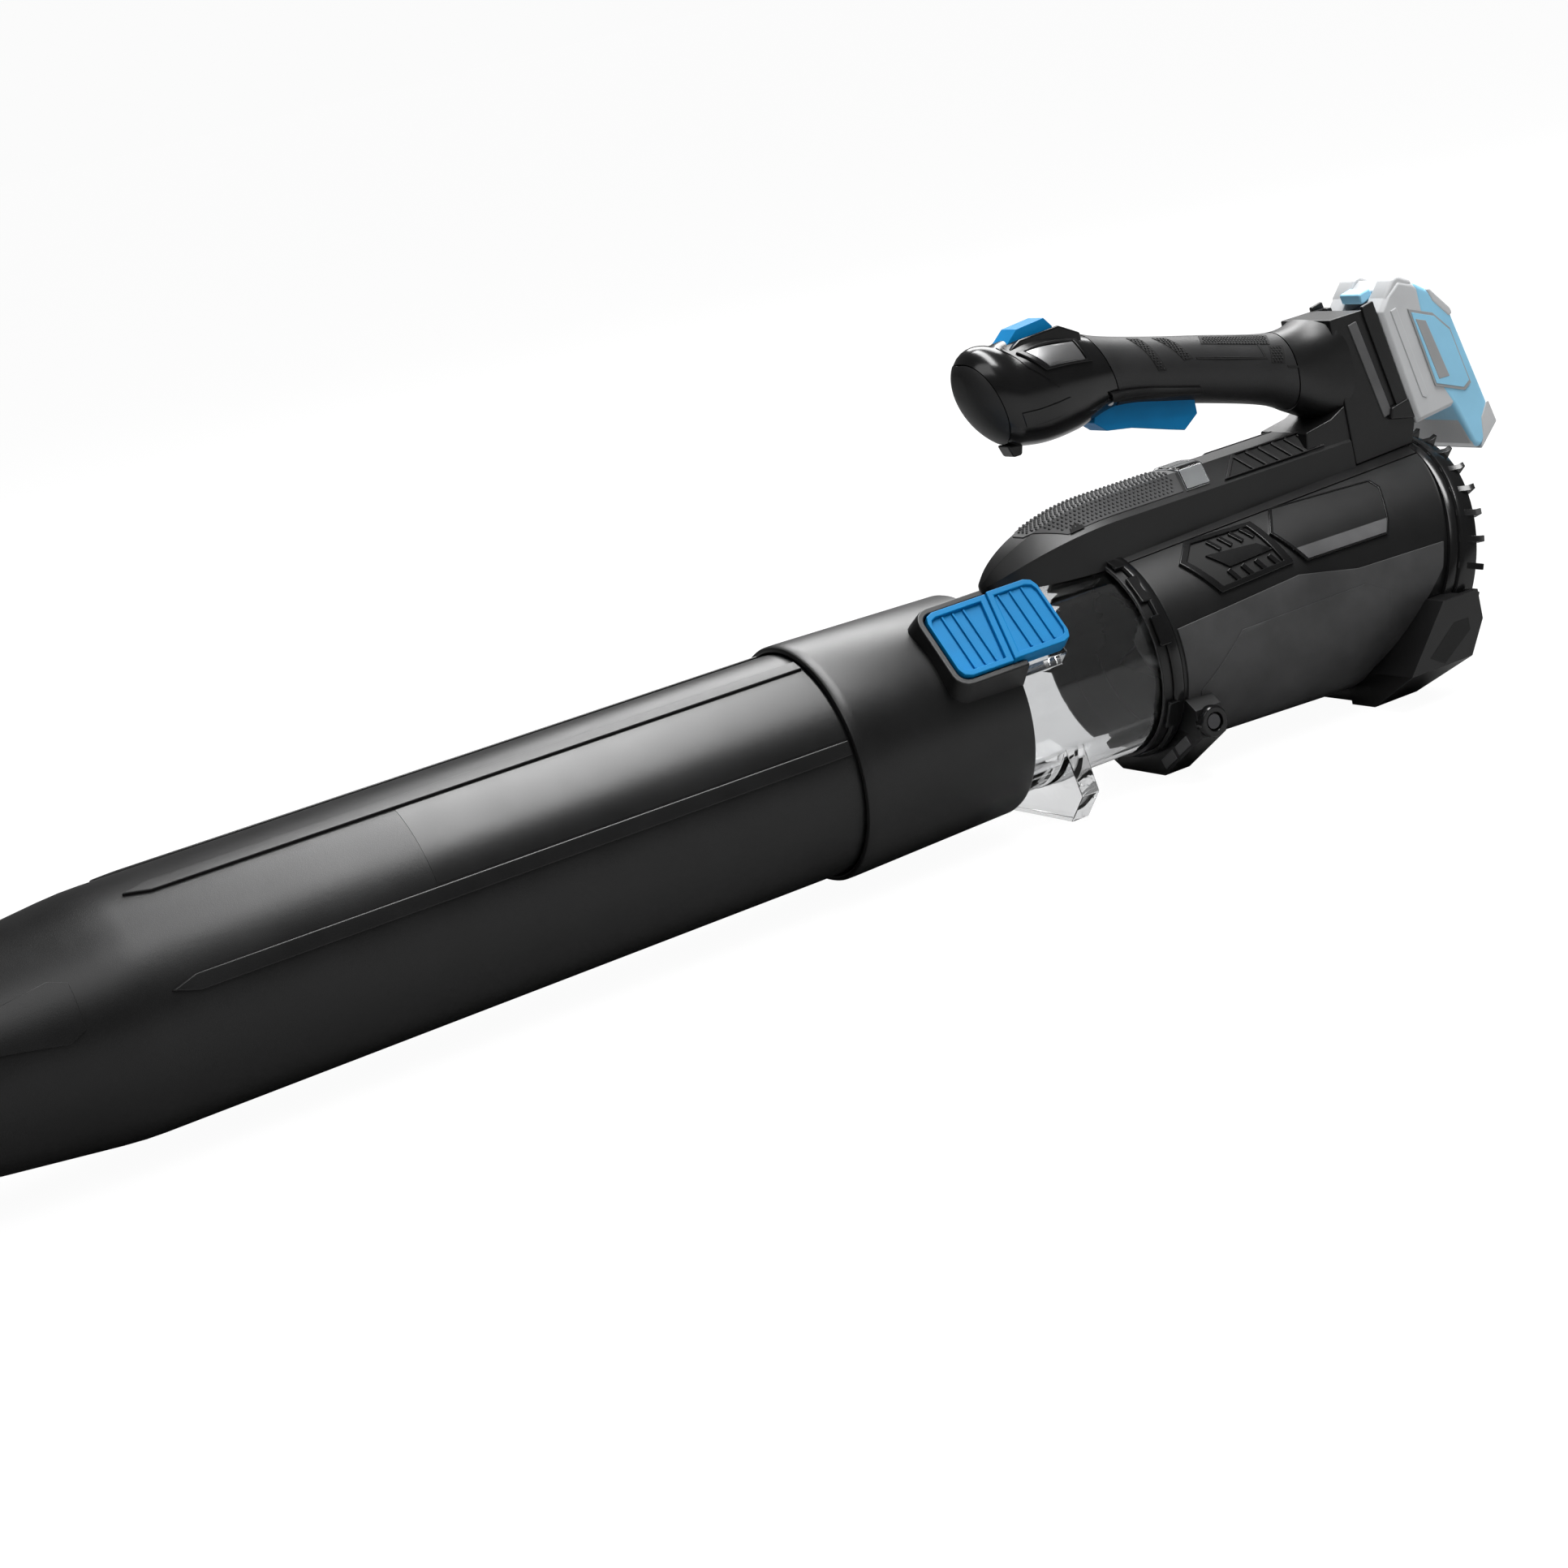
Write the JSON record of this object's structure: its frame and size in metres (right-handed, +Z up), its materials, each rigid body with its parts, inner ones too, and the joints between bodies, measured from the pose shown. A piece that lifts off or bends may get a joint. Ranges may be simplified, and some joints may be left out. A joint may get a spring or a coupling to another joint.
{
  "type": "leaf blower",
  "caption": "Battery leaf blower with a long round tube, a clear duct, a motor barrel with a rear intake guard, a looped top handle with trigger, and a slide-on battery.",
  "frame": {"origin": "under the middle of the whole object, on the surface that it stands on", "axes": "+X along the air axis from the nozzle to the battery, +Y to the right side seen from behind looking to the nozzle, +Z up"},
  "size_m": [0.9316, 0.14, 0.2295],
  "materials": {
    "black_plastic": "satin, fine moulded grain",
    "grey_plastic": "matte",
    "clear_plastic": "clear, smoky",
    "blue_plastic": "satin",
    "grip_rubber": "soft, dotted",
    "steel": "plain",
    "fan_plastic": "satin",
    "board": "varnished",
    "battery_plastic": "satin, with a pale blue band",
    "cell_metal": "plain",
    "terminal_metal": "plain"
  },
  "bodies": {
    "main": {"upper_shell": "black_plastic", "handle_left": "black_plastic", "handle_right": "black_plastic", "deck_cover": "black_plastic", "battery_dock": "black_plastic", "rear_guard": "black_plastic", "front_foot": "black_plastic", "rear_foot": "black_plastic", "side_grille_left": "black_plastic", "side_grille_right": "black_plastic", "name_plate_left": "black_plastic", "name_plate_right": "black_plastic", "nose_bumper": "black_plastic", "lower_shell_left": "grey_plastic", "lower_shell_right": "grey_plastic", "deck_pad": "grey_plastic", "motor_pod": "grey_plastic", "tail_cone": "grey_plastic", "switch_body": "grey_plastic", "clear_duct": "clear_plastic", "led_window": "clear_plastic", "grip_cover": "grip_rubber", "trigger_pin": "steel", "lever_pin": "steel", "foot_screws": "steel", "front_bearing": "steel", "rear_bearing": "steel", "motor_stator": "steel", "trigger_spring": "steel", "controller_board": "board", "dock_terminals": "terminal_metal"},
    "tube": {"front_tube": "black_plastic", "rear_sleeve": "black_plastic", "latch_pin": "steel"},
    "latch": {"latch_rocker": "blue_plastic"},
    "fan": {"fan_impeller": "fan_plastic", "motor_shaft": "steel", "motor_rotor": "steel"},
    "trigger": {"trigger": "blue_plastic"},
    "lever": {"speed_lever": "blue_plastic"},
    "battery": {"battery_case": "battery_plastic", "battery_cells": "cell_metal"},
    "release": {"release_button": "blue_plastic"}
  },
  "joints": [
    {"name": "tube_pull_off", "type": "slide", "parent": "main", "child": "tube", "axis": [-1, 0, 0], "range_m": [0, 0.06]},
    {"name": "latch_rock", "type": "hinge", "parent": "tube", "child": "latch", "pos_m": [0.1392, -0.04459, 0.10215], "axis": [0, -0.6691, -0.7431], "range_deg": [0, 3], "stiffness_Nm_per_rad": 0.1, "springref_deg": -11.46},
    {"name": "fan_spin", "type": "hinge", "parent": "main", "child": "fan", "pos_m": [0.2992, 0, 0.062], "axis": [1, 0, 0], "continuous": true},
    {"name": "trigger_pull", "type": "hinge", "parent": "main", "child": "trigger", "pos_m": [0.2482, 0, 0.1825], "axis": [0, -1, 0], "range_deg": [0, 8], "stiffness_Nm_per_rad": 0.2, "springref_deg": -11.46, "deforming": ["trigger_spring"]},
    {"name": "lever_rock", "type": "hinge", "parent": "main", "child": "lever", "pos_m": [0.2142, 0, 0.214], "axis": [0, 1, 0], "range_deg": [-8, 8]},
    {"name": "battery_slide", "type": "slide", "parent": "main", "child": "battery", "axis": [-0.1908, 0, 0.9816], "range_m": [0, 0.075]},
    {"name": "release_press", "type": "slide", "parent": "battery", "child": "release", "axis": [0.1908, 0, -0.9816], "range_m": [0, 0.004], "stiffness_N_per_m": 500, "springref_m": -0.004}
  ]
}
